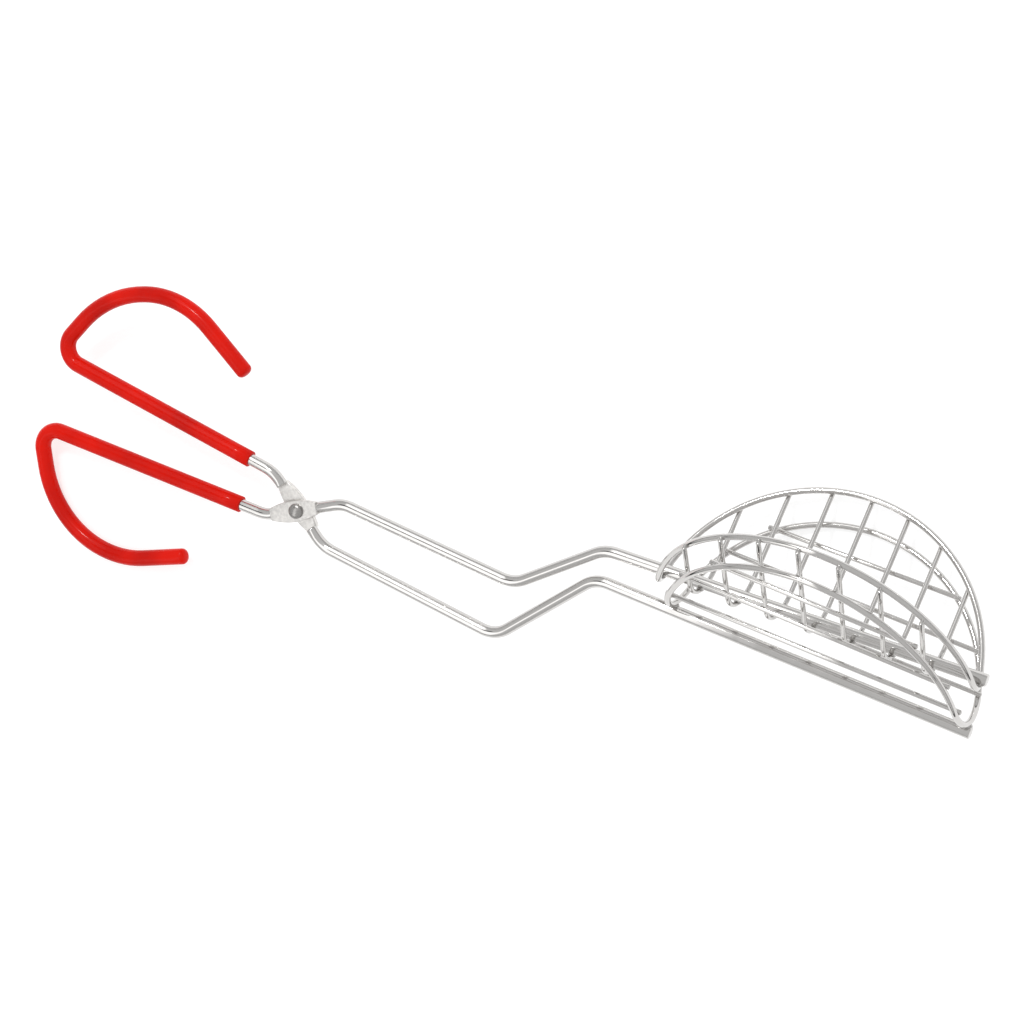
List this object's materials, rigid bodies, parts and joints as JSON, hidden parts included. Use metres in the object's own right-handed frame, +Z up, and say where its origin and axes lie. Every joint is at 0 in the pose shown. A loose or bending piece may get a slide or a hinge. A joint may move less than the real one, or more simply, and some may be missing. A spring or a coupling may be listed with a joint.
{
  "type": "scissor tongs with wire cages",
  "caption": "Scissor tongs with two nested V-shaped wire cages that hold a folded tortilla in hot oil, and dipped open finger loops.",
  "frame": {"origin": "under the middle of the object's box, on the surface it lies on", "axes": "+X along the tongs from the finger loops to the tip of the cages, +Y towards the open mouth of the V, +Z up from the table"},
  "size_m": [0.433, 0.1464, 0.0839],
  "materials": {
    "arm_steel": "bright polished round wire, bead-textured satin on the two flats",
    "cage_wire": "bright polished thin wire with small resistance welds",
    "rivet_steel": "darker turned steel, domed",
    "grip_vinyl": "glossy red dip-moulded vinyl"
  },
  "bodies": {
    "outer": {"outer_arm": "arm_steel", "outer_grip": "grip_vinyl", "pivot_rivet": "rivet_steel", "outer_ring": "cage_wire", "outer_front_stringer_1": "cage_wire", "outer_front_stringer_2": "cage_wire", "outer_front_stringer_3": "cage_wire", "outer_back_stringer_1": "cage_wire", "outer_back_stringer_2": "cage_wire", "outer_back_stringer_3": "cage_wire"},
    "inner": {"inner_arm": "arm_steel", "inner_grip": "grip_vinyl", "inner_ring": "cage_wire", "inner_rib_1": "cage_wire", "inner_rib_2": "cage_wire", "inner_rib_3": "cage_wire", "inner_rib_4": "cage_wire", "inner_rib_5": "cage_wire", "inner_rib_6": "cage_wire", "inner_rib_7": "cage_wire"}
  },
  "joints": [
    {"name": "pivot", "type": "hinge", "parent": "outer", "child": "inner", "pos_m": [-0.08373, -0.01704, 0.01719], "axis": [-0.0502, -0.1652, 0.985], "range_deg": [-0.1, 38]}
  ]
}
